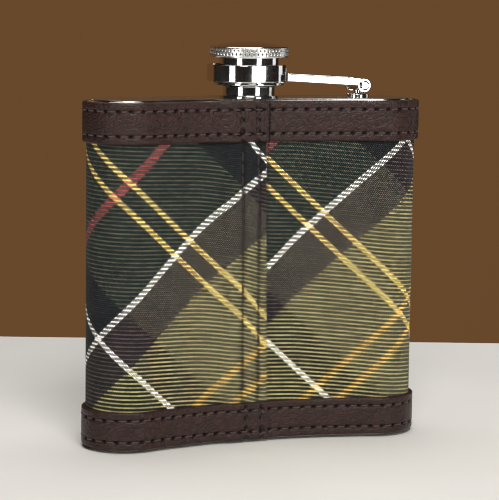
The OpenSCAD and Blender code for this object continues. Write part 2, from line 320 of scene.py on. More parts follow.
chrome = polished("bright_plating", (0.80, 0.79, 0.77, 1), (0.70, 0.69, 0.67, 1),
                  0.055, 0.07, 0.00002)
neck_low = rounded([(neck_bore_r, 93.0, 0), (neck_core, 93.0, 0), (neck_core, 93.95, 0),
                    (8.1, 93.98, 0), (8.1, 94.6, 0.25), (7.2, 94.6, 0.12), (7.2, 97.2, 0.3),
                    (neck_core, 97.2, 0.12)], 5)
wall = [(neck_core, z) for z in np.arange(97.4, 102.2, 0.11)]
mouth = rounded([(neck_core, 102.54, 0.3), (neck_bore_r, 102.54, 0.25),
                 (neck_bore_r, 93.0, 0)], 5)[:-1]
points, faces = turned(neck_low + wall + mouth, 144, rolled_thread)
make_piece("neck_turned", points, faces, chrome, "flask", ["neck"], 60)


# ---- The hinge post and its pin -------------------------------------------------------
# A small steel post riveted through the top plate, with a cross barrel at its head. A pin
# with domed heads passes through the barrel and carries the two arms of the cap strap.

hinge_x, hinge_z = 32.4, 97.2


def spun(section, centre, lie_along_y, around=48):
    """A closed section (radius, along) spun about an upright or a front-to-back axis."""
    points = []
    for a in np.linspace(0, 2 * math.pi, around, endpoint=False):
        for r, h in section:
            p = (r * math.cos(a), h, r * math.sin(a)) if lie_along_y else \
                (r * math.cos(a), r * math.sin(a), h)
            points.append((centre[0] + p[0], centre[1] + p[1], centre[2] + p[2]))
    return points, grid_faces(around, len(section), rows_close=True)


def together(*shells):
    """Several shells as one mesh."""
    points, faces = [], []
    for p, f in shells:
        first = len(points)
        points += [tuple(x) for x in p]
        faces += [tuple(first + i for i in face) for face in f]
    return points, faces


post = (hinge_x, axis_y, 0)
barrel = (hinge_x, axis_y, hinge_z)
post_foot = spun(rounded([(0.01, 93.98, 0), (3.2, 93.98, 0), (3.2, 94.7, 0.28),
                          (0.95, 94.7, 0.3), (0.95, 96.6, 0), (0.01, 96.6, 0)], 4),
                 post, False)
knuckle = spun(rounded([(0.81, -3.95, 0.06), (1.6, -3.95, 0.14), (1.6, 3.95, 0.14),
                        (0.81, 3.95, 0.06)], 4), barrel, True)
points, faces = together(post_foot, knuckle)
make_piece("hinge_post", points, faces, chrome, "flask", ["hinge_bracket"])

head = [(1.0, 5.22, 0), (1.35, 5.22, 0.05), (1.35, 5.48, 0.12), (0.95, 5.73, 0.1),
        (0.01, 5.75, 0)]
pin_section = rounded([(0.01, -5.75, 0)] + [(r, -h, c) for r, h, c in reversed(head[:-1])]
                      + [(0.8, -5.2, 0), (0.8, 5.2, 0)] + head, 4)
points, faces = spun(pin_section, barrel, True)
make_piece("hinge_pin_domed", points, faces, chrome, "flask", ["hinge_pin"])


# ---- The backing ----------------------------------------------------------------------
# Thin grey-board glued round the steel under the cloth. It only shows as an edge line at
# the top and the bottom of the wrap.

f = Finish("grey_board", Roughness=0.9, Specular_IOR_Level=0.2)
pulp = f.noise(f.place(), 1500.0, 5.0, 0.6)
backing = f.wear(f.mix(pulp, (0.10, 0.075, 0.05, 1), (0.17, 0.13, 0.09, 1)),
                 None, f.bump(pulp, 0.5, 0.0002))
finish_cad("wrap_backing", backing)


# ---- The tartan cloth -----------------------------------------------------------------
# One strip of wool twill cut on the bias and pulled tight round the flask. Its end laps
# over its start in the middle of the hollow side and is sewn down with two rows.

lap_start, lap_edge = -9.0, 1.8  # runs at which the under end and the lapped end stop
seam_rows = (-0.5, -5.1)
once_round = girth()
cloth_low, cloth_high = 1.0, 93.5
cloth_thick, over_board = 0.7, 0.5
lap_rise = 0.8  # the lapped end rides this far over the end below it
cloth_stitch, row_step = 3.3, 1.1  # the seam's stitches, and how its rows are staggered


def lean(z):
    """The sewn lap leans a little: its top is nearer the far side than its foot."""
    return -0.4 * (np.asarray(z, float) - 44.5) / 27.5


def smooth(x, a, b):
    """0 at a and before, 1 at b and after, with a soft rise between them."""
    t = np.clip((np.asarray(x, float) - a) / (b - a), 0, 1)
    return t * t * (3 - 2 * t)


def seam_dip(run, z, depth, width, pitch):
    """How far the seam's thread pulls the lap in, deepest where the needle went through."""
    total = 0
    for k, row in enumerate(seam_rows):
        off = run - once_round - row - lean(z)
        pull = 0.55 + 0.45 * np.cos(2 * math.pi * (z - row_step * k) / pitch)
        total = total + depth * pull * np.exp(-(off / width) ** 2)
    return total


def strip(runs, heights, inner, outer, edge_round, dent):
    """A strip that goes once round and laps over itself, as a closed thin mesh, with the
    run and height of each of its points. inner and outer give each face's distance off the
    steel, edge_round how far in its long edges are rounded, and dent what is pressed in."""
    rows, columns = len(runs), len(heights)
    run, z = np.meshgrid(runs, heights, indexing="ij")
    shift = lean(z) * smooth(run, once_round - 14, once_round - 9)
    p, way = outline(run + shift)
    near_edge = np.minimum(z - heights[0], heights[-1] - z)
    dull = edge_round - np.sqrt(np.maximum(
        0, edge_round ** 2 - np.maximum(0, edge_round - near_edge) ** 2))
    inside = inner(run)
    outside = np.maximum(outer(run) - dull - dent(run, z), inside + 0.02)
    outside[[0, -1]] -= 0.12
    points = np.concatenate([
        np.concatenate([p + off[..., None] * way, z[..., None]], -1).reshape(-1, 3)
        for off in (inside, outside)])
    one_face, last = rows * columns, (rows - 1) * columns
    quads = grid_faces(rows, columns, columns_close=False)
    faces = [tuple(reversed(q)) for q in quads]
    faces += [tuple(one_face + i for i in q) for q in quads]
    rim = list(range(columns)) + [i * columns + columns - 1 for i in range(1, rows)] \
        + [last + j for j in range(columns - 2, -1, -1)] \
        + [i * columns for i in range(rows - 2, 0, -1)]
    for here, there in zip(rim, rim[1:] + rim[:1]):
        faces.append((here, there, one_face + there, one_face + here))
    lay = np.concatenate([np.stack([run + shift, z], -1).reshape(-1, 2)] * 2)
    return points, faces, lay


def cloth_inner(run):
    return over_board + lap_rise * smooth(run, once_round - 11.6, once_round - 9.2)


def cloth_outer(run):
    return cloth_inner(run) + cloth_thick


def painted_lap_shadow(run):
    """0 to 1: the painted shadow line on the under layer, close beside the edge that laps over
    it.
    """
    return np.exp(-((run - lap_edge - 0.22) / 0.30) ** 2)


def cloth_dent(run, z):
    """The seam's grooves, with the cloth between them puffed up."""
    over_lap = smooth(run, once_round - 9.0, once_round - 7.5)
    puff = 0.10 * np.exp(-((run - once_round + 2.8) / 1.3) ** 2)
    return over_lap * (seam_dip(run, z, 0.34, 0.55, cloth_stitch) - puff)


cloth_runs = np.concatenate([
    np.arange(lap_start, 1.2, 1.1), np.arange(1.3, 3.0, 0.15),
    np.arange(3.5, once_round - 14, 1.1),
    np.arange(once_round - 14, once_round - 6.6, 0.4),
    np.arange(once_round - 6.6, once_round + lap_edge - 0.1, 0.18),
    [once_round + lap_edge - 0.08, once_round + lap_edge]])
cloth_heights = np.concatenate([
    [cloth_low, cloth_low + 0.2], np.arange(cloth_low + 0.7, cloth_high - 0.3, 0.55),
    [cloth_high - 0.2, cloth_high]])
face_ends = 34.0  # run at which the hollow side meets the round end


def cloth_place(run, z):
    """Where a point of the strip lies on the flat cloth, across and up in millimetres. The
    cloth is stretched a little round the ends, and the sewing pulls the checks askew."""
    across_left, up_left = 0.93 * (run - once_round), z - 0.03 * (run - once_round)
    across_right, up_right = -197.2 + 0.89 * run, 2.48 + z + 0.03 * run
    sewn = smooth(run, once_round - 20, once_round - 4)
    across_left = across_left - 1.2 * sewn
    up_left = up_left + 1.15 * sewn + 1.3 * smooth(run, once_round - 6, once_round + 1.5)
    by_lap = 1 - smooth(run, 2, 12)
    across_right, up_right = across_right - 0.6 * by_lap, up_right + 0.5 * by_lap
    t = smooth(run, face_ends, once_round - face_ends)
    return np.stack([(1 - t) * across_right + t * across_left,
                     (1 - t) * up_right + t * up_left], -1)


down_yarn, up_yarn = 0.360, 0.420  # pitch of the two families of yarns
# Each stripe: where it starts, its colour, and how far its fat yarns hide the ones
# that cross over them.
down_turns = [  # yarns that run down towards the hinge
    (0.0, (0.052, 0.053, 0.039), 0), (1.75, (0.80, 0.57, 0.17), 0.14),
    (3.2, (0.052, 0.053, 0.039), 0), (22.5, (0.012, 0.009, 0.013), 0),
    (31.75, (0.92, 0.90, 0.86), 0.15), (33.3, (0.008, 0.012, 0.010), 0),
    (52.5, (0.36, 0.075, 0.085), 0.5)]
up_turns = [  # yarns that run up towards the hinge
    (0.0, (0.250, 0.222, 0.098), 0), (2.3, (0.80, 0.48, 0.115), 0.06),
    (3.9, (0.250, 0.222, 0.098), 0), (25.1, (0.050, 0.038, 0.035), 0),
    (35.6, (0.86, 0.85, 0.80), 0.10), (37.6, (0.008, 0.016, 0.014), 0),
    (58.85, (0.26, 0.045, 0.055), 0.1)]

f = Finish("tartan_twill", Roughness=0.82, Specular_IOR_Level=0.22, Sheen_Weight=0.04,
           Sheen_Roughness=0.45)
split = f.nodes.new("ShaderNodeSeparateXYZ")
cloth_map = f.node("UVMap", uv_map="bias")
f.put(split.inputs[0], cloth_map)
across, up = split.outputs[0], split.outputs[1]
bias = math.sqrt(0.5)  # the yarns lie at 45 degrees to the strip
down_at = f.sum("MULTIPLY", f.sum("ADD", up, across), bias / down_yarn)
up_at = f.sum("MULTIPLY", f.sum("SUBTRACT", up, across), bias / up_yarn)
down_no, up_no = f.sum("FLOOR", down_at), f.sum("FLOOR", up_at)
down_part, up_part = f.sum("FRACT", down_at), f.sum("FRACT", up_at)


def stripes(number, yarn, middle, half, stripe_list):
    """The colour and cover of a numbered yarn, in a sett that mirrors about middle and
    again half further on."""
    place = f.sum("MULTIPLY", f.sum("ADD", number, 0.5), yarn)
    folded = f.sum("PINGPONG", f.sum("SUBTRACT", place, middle), half)
    ramp = f.nodes.new("ShaderNodeValToRGB")
    ramp.color_ramp.interpolation = "CONSTANT"
    f.put(ramp.inputs[0], f.sum("DIVIDE", folded, half))
    while len(ramp.color_ramp.elements) > 1:
        ramp.color_ramp.elements.remove(ramp.color_ramp.elements[-1])
    for k, (at, colour, cover) in enumerate(stripe_list):
        stripe = ramp.color_ramp.elements[0] if k == 0 \
            else ramp.color_ramp.elements.new(at / half)
        stripe.position, stripe.color = at / half, (*colour, cover)
    return ramp.outputs


# A two-and-two twill: each yarn floats over two and dives under two, one place further on
# in every next yarn.
step = f.sum("FLOORED_MODULO", f.sum("ADD", down_no, up_no), 4.0)
down_on_top = f.sum("LESS_THAN", step, 1.5)


def pick(on_down, on_up):
    """One value where a yarn of the down family is on top, another where an up yarn is."""
    made = f.nodes.new("ShaderNodeMix")
    for i, value in ((0, down_on_top), (2, on_up), (3, on_down)):
        f.put(made.inputs[i], value)
    return made.outputs[0]


side = pick(down_part, up_part)
along = pick(f.sum("MULTIPLY", f.sum("ADD", step, up_part), 0.5),
             f.sum("MULTIPLY", f.sum("ADD", f.sum("SUBTRACT", step, 2.0), down_part), 0.5))


def arch(part):
    """1 in the middle of a yarn or a float, 0 at its edges."""
    bow = f.sum("SUBTRACT", f.sum("MULTIPLY", part, 2.0), 1.0)
    return f.sum("SUBTRACT", 1.0, f.sum("MULTIPLY", bow, bow), clamp=True)


side_arch, end_arch = arch(side), f.sum("SQRT", arch(along))
float_height = f.sum("MULTIPLY", f.sum("SQRT", side_arch),
                     f.spread(end_arch, 0.0, 1.0, 0.35, 1.0))
up_colour, up_cover = stripes(up_no, up_yarn, 17.35, 60.35, up_turns)
down_colour, down_cover = stripes(down_no, down_yarn, 23.95, 54.0, down_turns)
yarn_colour = f.mix(down_on_top, f.mix(down_cover, up_colour, down_colour),
                    f.mix(up_cover, down_colour, up_colour))
# No two floats are quite the same shade, and the wool is fluffy and flecked. The gaps
# between yarns and the ends of floats are painted dark as shade, the yarns' middles lighter.
dice = f.nodes.new("ShaderNodeTexWhiteNoise")
dice.noise_dimensions = "2D"
row_no = f.sum("FLOOR", f.sum("MULTIPLY", f.sum("ADD", up_no, down_no), 0.25))
f.put(dice.inputs[0], f.node(
    "CombineXYZ", pick(down_no, f.sum("ADD", up_no, 0.5)), row_no))
fluff = f.noise(cloth_map, 1.7, 4.0, 0.75)
rubbed = f.noise(cloth_map, 0.11, 3.0, 0.5)
# Painted shade between the yarns and at the ends of floats, times the random tone of fluff,
# rubbing and dice.
painted_gap_shade_and_tone = f.sum("MULTIPLY", f.sum("MULTIPLY", f.spread(side_arch, 0.45, 0.95, 0.0, 2.3),
                                f.spread(end_arch, 0.40, 0.97, 0.04, 1.38)),
              f.sum("MULTIPLY", f.spread(fluff, 0.3, 0.7, 0.60, 1.40),
                    f.sum("MULTIPLY", f.spread(rubbed, 0.3, 0.7, 0.90, 1.10),
                          f.spread(dice.outputs[0], 0.0, 1.0, 0.50, 1.50))))
grey = f.node("CombineXYZ", painted_gap_shade_and_tone, painted_gap_shade_and_tone, painted_gap_shade_and_tone)
cloth_colour = f.mix(1.0, yarn_colour, grey, "MULTIPLY")
fleck = f.spread(f.noise(cloth_map, 2.3, 2.0), 0.755, 0.80, 0.0, 0.75)
cloth_colour = f.mix(fleck, cloth_colour, (0.62, 0.62, 0.52, 1))
# Painted shade: the seam's grooves go near black, and a painted shadow lies beside the lapped
# edge.
cloth_colour = f.mix(f.mark("painted_seam_and_lap_shade"), cloth_colour, (0.006, 0.004, 0.004, 1))
cloth_height = f.sum("ADD", float_height, f.sum("MULTIPLY", fluff, 0.5))
tartan = f.wear(cloth_colour, f.spread(fluff, 0.2, 0.8, 0.72, 0.92),
                f.bump(cloth_height, 0.55, 0.00016))

points, faces, lay = strip(cloth_runs, cloth_heights, cloth_inner, cloth_outer, 0.2,
                           cloth_dent)
cloth = make_piece("tartan_cloth", points, faces, tartan, "flask",
                   ["fabric_wrap"], 0)
flat_place = cloth.data.uv_layers.new(name="bias")
corner_point = np.zeros(len(cloth.data.loops), int)
cloth.data.loops.foreach_get("vertex_index", corner_point)
flat_place.data.foreach_set("uv", cloth_place(lay[:, 0], lay[:, 1])[corner_point].ravel())


def outer_mark(piece, name, value):
    """Give the outer half of a strip's points a value that its material reads."""
    value[:len(value) // 2] = 0
    piece.data.attributes.new(name, "FLOAT", "POINT").data.foreach_set(
        "value", value.astype(np.float32))


# Where the seam rows and the lapped edge lie, the cloth is painted dark as shade.
in_seam = sum(np.exp(-((lay[:, 0] - once_round - row) / 0.42) ** 2) for row in seam_rows)
outer_mark(cloth, "painted_seam_and_lap_shade", 0.9 * np.clip(in_seam, 0, 1) + 0.7 * painted_lap_shadow(lay[:, 0]))


# ---- The leather cuffs ----------------------------------------------------------------
# Two straps of dark brown, softly wrinkled leather, 1.1 mm thick, bound round the top and
# the bottom of the cloth. Their ends lap with the cloth's, and two rows of stitches run
# along each; the needle leaves a slot at every stitch, pressed in and painted near black as
# shade, and a painted shadow lies beside the lapped end.

leather_thick = 1.1
cuff_stitch, first_slot = 3.25, 2.9
lap_stitch, lap_first = 2.9, 0.9  # the seam's stitches, and where they start over a row
top_cuff_foot, bottom_cuff_head = 82.6, 11.2
top_rows, bottom_rows = (91.3, 84.8), (9.0, 3.2)
cuff_first, cuff_last = lap_start + 0.5, once_round + lap_edge


def leather_inner(run):
    return cloth_face + lap_rise * smooth(run, once_round - 11.8, once_round - 9.0)


def leather_outer(run):
    """The outer face; the end that lies under the lap is pared thinner."""
    return leather_inner(run) + leather_thick - 0.3 * (1 - smooth(run, 1.5, 2.6))


def off_slot(at, first, pitch):
    """How far a place is from the nearest of an even row of slots."""
    return at - (first + np.round((at - first) / pitch) * pitch)


def needle_slots(run, z, rows):
    """0 to 1: how much a point lies in one of the slots along the rows and the seam."""
    total = 0
    for row in rows:
        total = total + np.exp(-((off_slot(run, first_slot, cuff_stitch) / 0.66) ** 4
                                 + ((z - row) / 0.38) ** 4))
    for row in seam_rows:
        off = run - once_round - row - lean(z)
        total = total + np.exp(-(
            (off / 0.33) ** 4 + (off_slot(z, rows[1] + lap_first, lap_stitch) / 0.70) ** 4))
    return np.clip(total, 0, 1) * smooth(run, 1.6, 2.4)


def cuff_dent(rows, z_low, z_high):
    """What is pressed into a cuff: creases along the rows, slots, the seam and waves."""
    def dent(run, z):
        crease = sum(0.13 * np.exp(-((z - row) / 0.55) ** 2) for row in rows)
        puff = 0.028 * np.sin(np.pi * np.clip((z - z_low) / (z_high - z_low), 0, 1))
        wave = 0.02 * np.sin(run * 0.31 + z * 0.7) * np.sin(run * 0.83 - z * 0.45)
        return smooth(run, 1.7, 2.5) * (
            crease + 0.52 * needle_slots(run, z, rows) - puff - wave
            + 0.6 * seam_dip(run, z, 0.2, 0.6, lap_stitch))
    return dent


def leather_finish():
    """Fine wrinkles that lean to one side, with painted shade in their valleys. The slots
    where the needle went in, and a line beside the lapped edge, are painted near black as
    shade.
    """
    f = Finish("dark_leather", Specular_IOR_Level=0.30)
    where = f.place()
    wobble = f.node("VectorMath", f.node("TexNoise", where, None, 420.0, out="Color"),
                    (0.0009, 0.0009, 0.0009), operation="MULTIPLY")
    warped = f.node("VectorMath", where, wobble, operation="ADD")
    leaning = f.node("Mapping", f.node("Mapping", warped, None, (0.0, 0.45, 0.0)),
                     None, None, (1.0, 1.0, 2.0))
    cells = f.node("TexVoronoi", leaning, None, 430.0, out="Distance",
                   feature="DISTANCE_TO_EDGE")
    valley = f.spread(cells, 0.0, 0.16, 0.0, 1.0)
    creases = f.noise(leaning, 330.0, 3.0, 0.55, 0.8)
    broad = f.noise(where, 75.0, 3.0, 0.5)
    height = f.sum("ADD", f.sum("MULTIPLY", valley, 0.40), f.sum(
        "ADD", f.sum("MULTIPLY", creases, 1.5), f.sum("MULTIPLY", broad, 0.5)))
    tone = f.mix(f.spread(creases, 0.35, 0.65, 0.0, 1.0), (0.019, 0.0068, 0.0052, 1),
                 (0.045, 0.0172, 0.0138, 1))
    tone = f.mix(f.spread(broad, 0.35, 0.7, 0.0, 0.5), tone, (0.038, 0.0160, 0.0132, 1))
    # Painted shade: the wrinkles' valleys are darkened in the colour.
    tone = f.mix(f.spread(valley, 0.0, 1.0, 0.55, 0.0), tone, (0.016, 0.007, 0.006, 1))
    painted_slot_and_lap_shade = f.mark("painted_slot_and_lap_shade")
    # Painted shade: the slots, and the line beside the lapped edge, go near black.
    tone = f.mix(painted_slot_and_lap_shade, tone, (0.0016, 0.001, 0.001, 1))
    shine = f.spread(f.sum("ADD", creases, f.sum("MULTIPLY", broad, 0.5)),
                     0.5, 0.95, 0.34, 0.50)
    shine = f.sum("MAXIMUM", shine, painted_slot_and_lap_shade)
    return f.wear(tone, shine, f.bump(height, 0.42, 0.00050))


leather = leather_finish()
cuff_runs = np.concatenate([[cuff_first], np.arange(cuff_first + 1, 0.5, 1.2),
                            np.arange(0.6, 3.0, 0.15),
                            np.arange(3.0, once_round - 14, 0.30),
                            np.arange(once_round - 14, cuff_last - 0.1, 0.19),
                            [cuff_last - 0.07, cuff_last]])
for name, low, high, rows in (
        ("top_cuff", top_cuff_foot, cloth_high, top_rows),
        ("bottom_cuff", cloth_low, bottom_cuff_head, bottom_rows)):
    fine = np.concatenate([[low, low + 0.06, low + 0.16, low + 0.3],
                           np.arange(low + 0.5, high - 0.4, 0.22),
                           [high - 0.3, high - 0.16, high - 0.06, high]])
    points, faces, lay = strip(cuff_runs, fine, leather_inner, leather_outer, 0.5,
                               cuff_dent(rows, low, high))
    made = make_piece(name + "_leather", points, faces, leather, "flask",
                      [name], 0)
    # The painted shade of the slots and of the line beside the lapped edge, for the leather's
    # material.
    outer_mark(made, "painted_slot_and_lap_shade", np.maximum(needle_slots(lay[:, 0], lay[:, 1], rows),
                                          0.9 * painted_lap_shadow(lay[:, 0])))


# ---- The stitching --------------------------------------------------------------------
# Waxed brown thread. Each stitch dives into its slots at both ends and lies almost flush
# in the crease that its pull has made, in rows along the cuffs and up the sewn lap.


def waxed_thread(name, dark, light):
    f = Finish(name, Specular_IOR_Level=0.45, Sheen_Weight=0.05)
    ply = f.node("TexWave", f.place(), 2200.0, 0.6, 1.0, bands_direction="DIAGONAL")
    return f.wear(f.mix(ply, (*dark, 1), (*light, 1)), f.spread(ply, 0.0, 1.0, 0.45, 0.62),
                  f.bump(ply, 0.6, 0.00008))


cuff_thread = waxed_thread("cuff_thread", (0.030, 0.015, 0.013), (0.105, 0.066, 0.058))
seam_thread = waxed_thread("seam_thread", (0.010, 0.005, 0.004), (0.034, 0.017, 0.015))


def stitch(line, thick, flat):
    """One stitch: a soft cord along a line of (point, outward way) with tapering ends."""
    points, sides, count = [], 8, len(line)
    for i, (p, out) in enumerate(line):
        a, b = line[max(i - 1, 0)][0], line[min(i + 1, count - 1)][0]
        ahead = (b - a) / np.linalg.norm(b - a)
        out = out - ahead * np.dot(out, ahead)
        out = out / np.linalg.norm(out)
        beside = np.cross(ahead, out)
        size = thick * (0.55 + 0.45 * max(0, math.sin(math.pi * i / (count - 1))) ** 0.5)
        for k in range(sides):
            t = 2 * math.pi * k / sides
            points.append(p + size * (math.cos(t) * beside + flat * math.sin(t) * out))
    faces = grid_faces(count, sides)
    faces += [tuple(range(sides)), tuple(range((count - 1) * sides, count * sides))]
    return points, faces


def on_face(run, z, out):
    """A point that stands `out` off the steel, and its outward direction."""
    p, way = outline(run)
    return np.array([*(p + out * way), z]), np.array([*way, 0.0])


slots = np.arange(first_slot, once_round + 0.8, cuff_stitch)
# How high a stitch stands along its length: it dives in at both ends.
stitch_bow = [-0.34, -0.06, 0.055, 0.095, 0.10, 0.095, 0.055, -0.06, -0.34]
stitch_gap = 0.60  # from the middle of a slot to the end of the stitch
for name, row in (("top_cuff_upper", top_rows[0]), ("top_cuff_lower", top_rows[1]),
                  ("bottom_cuff_upper", bottom_rows[0]),
                  ("bottom_cuff_lower", bottom_rows[1])):
    made = []
    for start in slots[:-1]:
        span = np.linspace(start + stitch_gap, start + cuff_stitch - stitch_gap,
                           len(stitch_bow))
        line = [on_face(u, row, float(leather_outer(u)) - 0.13 + bow)
                for u, bow in zip(span, stitch_bow)]
        made.append(stitch(line, 0.24, 0.75))
    points, faces = together(*made)
    make_piece(name + "_stitches", points, faces, cuff_thread, "flask",
               [name + "_thread"], 0)

on_lapped_cuff = cloth_face + lap_rise + leather_thick
on_lapped_cloth = over_board + lap_rise + cloth_thick
between_low, between_high = bottom_cuff_head + 0.3, top_cuff_foot - 0.2
for k, (name, row) in enumerate(zip(("seam_edge", "seam_inner"), seam_rows)):
    made = []
    spans = [(z, z + lap_stitch, on_lapped_cuff, 0.2) for rows in (bottom_rows, top_rows)
             for z in (rows[1] + lap_first, rows[1] + lap_first + lap_stitch)]
    first = row_step * k + cloth_stitch * math.ceil(
        (between_low - row_step * k) / cloth_stitch)
    spans += [(z, z + cloth_stitch, on_lapped_cloth, 0.16)
              for z in np.arange(first, between_high - cloth_stitch, cloth_stitch)]
    for z0, z1, out, inset in spans:
        heights = np.linspace(z0 + inset, z1 - inset, len(stitch_bow))
        line = [on_face(once_round + row + float(lean(z)), z, out - 0.14 + bow)
                for z, bow in zip(heights, stitch_bow)]
        made.append(stitch(line, 0.25, 0.8))
    points, faces = together(*made)
    make_piece(name + "_stitches", points, faces, seam_thread, "flask",
               [name + "_thread"], 0)


# ---- The cap strap --------------------------------------------------------------------
# Flat plated strip bent into a loop that rides on the cap's skirt, with two arms running
# back to the hinge pin. It is pressed from one blank, so its edges are a little rounded.

strip_half, strip_edge = 0.45, 0.16
arm_half, lug_r, pin_hole = 4.6, 1.95, 0.85
loop_r, loop_side = 7.05, 9.45


def arc(cx, cy, r, a0, a1, n):
    return [(cx + r * math.cos(math.radians(a)), cy + r * math.sin(math.radians(a)))
            for a in np.linspace(a0, a1, n)]


def bowed(line):
    """The loop's long sides bow out a little."""
    return [(x, y * (1 - 0.05 * ((x + 0.65) / 5) ** 2)) for x, y in line]


half_path = [(x, arm_half) for x in (31.3, 28, 25, 22, 19, 16, 14, 12.5, 11.3, 10.4)]
turn_in = bowed(arc(2.4, 2.4, loop_r, 33, 90, 16)
                + [(x, loop_side) for x in (1.4, 0.4, -0.65, -1.7, -2.7)]
                + arc(-3.7, 2.4, loop_r, 90, 180, 24))
start, corner, stop = np.array((9.7, arm_half)), np.array((8.75, arm_half)), \
    np.array(turn_in[0])
half_path += [tuple((1 - t) ** 2 * start + 2 * t * (1 - t) * corner + t * t * stop)
              for t in np.linspace(0, 1, 9)[:-1]]
half_path += turn_in + [(-10.75, 0.7)]
path = np.array(half_path + [(x, -y) for x, y in reversed(half_path)])
ahead = np.gradient(path, axis=0)
ahead /= np.linalg.norm(ahead, axis=1)[:, None]
side_way = np.stack([ahead[:, 1], -ahead[:, 0]], -1)
points = []
for (x, y), out in zip(path, side_way):
    arm_top = np.interp(x, [8.9, 10.4, hinge_x], [101.2, 100.4, 99.15])
    arm_low = np.interp(x, [10.9, hinge_x], [98.4, 97.05])
    on_arm = float(smooth(x, 8.3, 9.1))
    top, low = 103.0 + (arm_top - 103.0) * on_arm, 98.4 + (arm_low - 98.4) * on_arm
    for a, b in rounded([(-strip_half, low, strip_edge), (strip_half, low, strip_edge),
                         (strip_half, top, strip_edge), (-strip_half, top, strip_edge)], 3):
        points.append((x + a * out[0], axis_y + y + a * out[1], b))
corners = len(points) // len(path)
faces = grid_faces(len(path), corners)
faces += [tuple(range(corners)), tuple(range(len(points) - corners, len(points)))]
lugs = []
for at in (-arm_half, arm_half):
    lug = rounded([(pin_hole, at - strip_half, 0.06), (lug_r, at - strip_half, strip_edge),
                   (lug_r, at + strip_half, strip_edge), (pin_hole, at + strip_half, 0.06)], 3)
    lugs.append(spun(lug, barrel, True))
points, faces = together((points, faces), *lugs)
make_piece("cap_strap", points, faces, chrome, "arm", ["yoke"], 45)


# ---- The cap --------------------------------------------------------------------------
# A pressed and plated cap: a low dome over a diamond-knurled rim, a plain skirt that turns
# in the strap's loop, and a keeper ring swaged on its foot so that it can't pull out.

rim_r, rim_low, rim_high = 10.8, 105.0, 107.9
knurls, knurl_rise, knurl_deep = 56, 1.9, 0.34
skirt_r, skirt_inner, skirt_low = 8.2, 7.66, 97.4
dome_top, dome_rise = 109.2, 1.3
under_dome = 103.72


def knurl_cut(angle, up):
    """How deep the knurling is cut at a point of the rim, and where the rim is knurled."""
    round_at, up_at_rim = angle * knurls / (2 * math.pi), (up - rim_low) / knurl_rise
    one_way = 1 - np.abs(2 * np.mod(round_at + up_at_rim, 1) - 1)
    other_way = 1 - np.abs(2 * np.mod(round_at - up_at_rim, 1) - 1)
    cut = np.clip(1 - (0.90 - np.minimum(one_way, other_way)) * 2.6, 0, 1)
    band = smooth(up, rim_low + 0.22, rim_low + 0.4) * (
        1 - smooth(up, rim_high - 0.4, rim_high - 0.22))
    return cut * band, band


def diamonds(radius, angle, up):
    on_rim = np.abs(radius - rim_r) < 0.02
    return radius - np.where(on_rim, knurl_deep * knurl_cut(angle, up)[0], 0)


dome_r = rim_r - 0.6
arc_r = (dome_r ** 2 + dome_rise ** 2) / (2 * dome_rise)
dome = [(arc_r * math.sin(a), dome_top - arc_r * (1 - math.cos(a)))
        for a in np.linspace(math.asin(dome_r / arc_r), 0.0, 26)[1:-1]]
under = rounded([(skirt_inner, skirt_low, 0), (skirt_r, skirt_low, 0.1),
                 (skirt_r, rim_low, 0.15), (10.5, rim_low, 0.08), (rim_r, 105.25, 0.1)], 4)
knurled = [(rim_r, z) for z in np.arange(105.36, 107.58, 0.075)]
crown = rounded([(rim_r, 107.66, 0.08), (10.5, rim_high, 0.12), (10.15, 107.92, 0.2)], 4)
inside = [(0.02, dome_top), (0.02, under_dome), (skirt_inner, under_dome)]
knurled_chrome = polished("knurled_plating", (0.80, 0.79, 0.77, 1), (0.68, 0.67, 0.65, 1),
                          0.07, 0.08, 0.00002, "knurl")
points, faces = turned(under + knurled + crown + dome + inside, knurls * 9, diamonds)
cap = make_piece("cap_knurled", points, faces, knurled_chrome, "cap",
                 ["cap_shell"], 50)
sideways, forwards = points[:, 0], points[:, 1] - axis_y
cut, band = knurl_cut(np.arctan2(forwards, sideways), points[:, 2])
on_rim = np.hypot(sideways, forwards) > rim_r - 0.4
# The knurl attribute marks the rim's cuts; the plating paints shade into its grooves from it.
knurl = cap.data.attributes.new("knurl", "FLOAT", "POINT")
knurl.data.foreach_set("value", np.where(on_rim, cut + band, 0).astype(np.float32))


# ---- Inside the cap -------------------------------------------------------------------
# A thin drawn steel liner with a rolled-in thread, and a soft grey sealing washer that
# closes on the neck's mouth. The keeper ring is a plain bright washer, swaged on the foot
# of the skirt.

f = Finish("liner_metal", Metallic=1.0)
drawn = f.noise(f.node("Mapping", f.place(), None, None, (1.0, 1.0, 14.0)), 600.0, 3.0)
liner = f.wear(f.mix(drawn, (0.42, 0.41, 0.39, 1), (0.60, 0.59, 0.57, 1)),
               f.spread(drawn, 0.3, 0.7, 0.22, 0.38), f.bump(drawn, 0.2, 0.00003))
liner_r, liner_out = 7.3, 7.65


def liner_thread(radius, angle, up):
    """The liner's wall with its rolled-in thread, which fades out at both ends."""
    turn_no = (up - 97.9) / neck_pitch - angle / (2 * math.pi)
    off = np.abs(turn_no - np.round(turn_no)) * neck_pitch
    ridge = np.clip((0.42 - off) / 0.30, 0, 1)
    room = smooth(up, 97.6, 98.3) * (1 - smooth(up, 101.6, 102.4))
    on_wall = np.abs(radius - liner_r) < 0.02
    return radius - np.where(on_wall, ridge * ridge * (3 - 2 * ridge) * room * 0.34, 0)


liner_section = [(liner_r, z) for z in np.arange(97.5, 103.2, 0.12)] + [
    (7.22, 103.28), (7.1, 103.34), (0.02, 103.34), (0.02, 103.69), (7.45, 103.69),
    (7.6, 103.62), (liner_out, 103.45), (liner_out, 97.5), (7.6, 97.41), (7.4, 97.41)]
points, faces = turned(liner_section, 120, liner_thread)
make_piece("cap_liner", points, faces, liner, "cap", ["cap_insert"], 60)

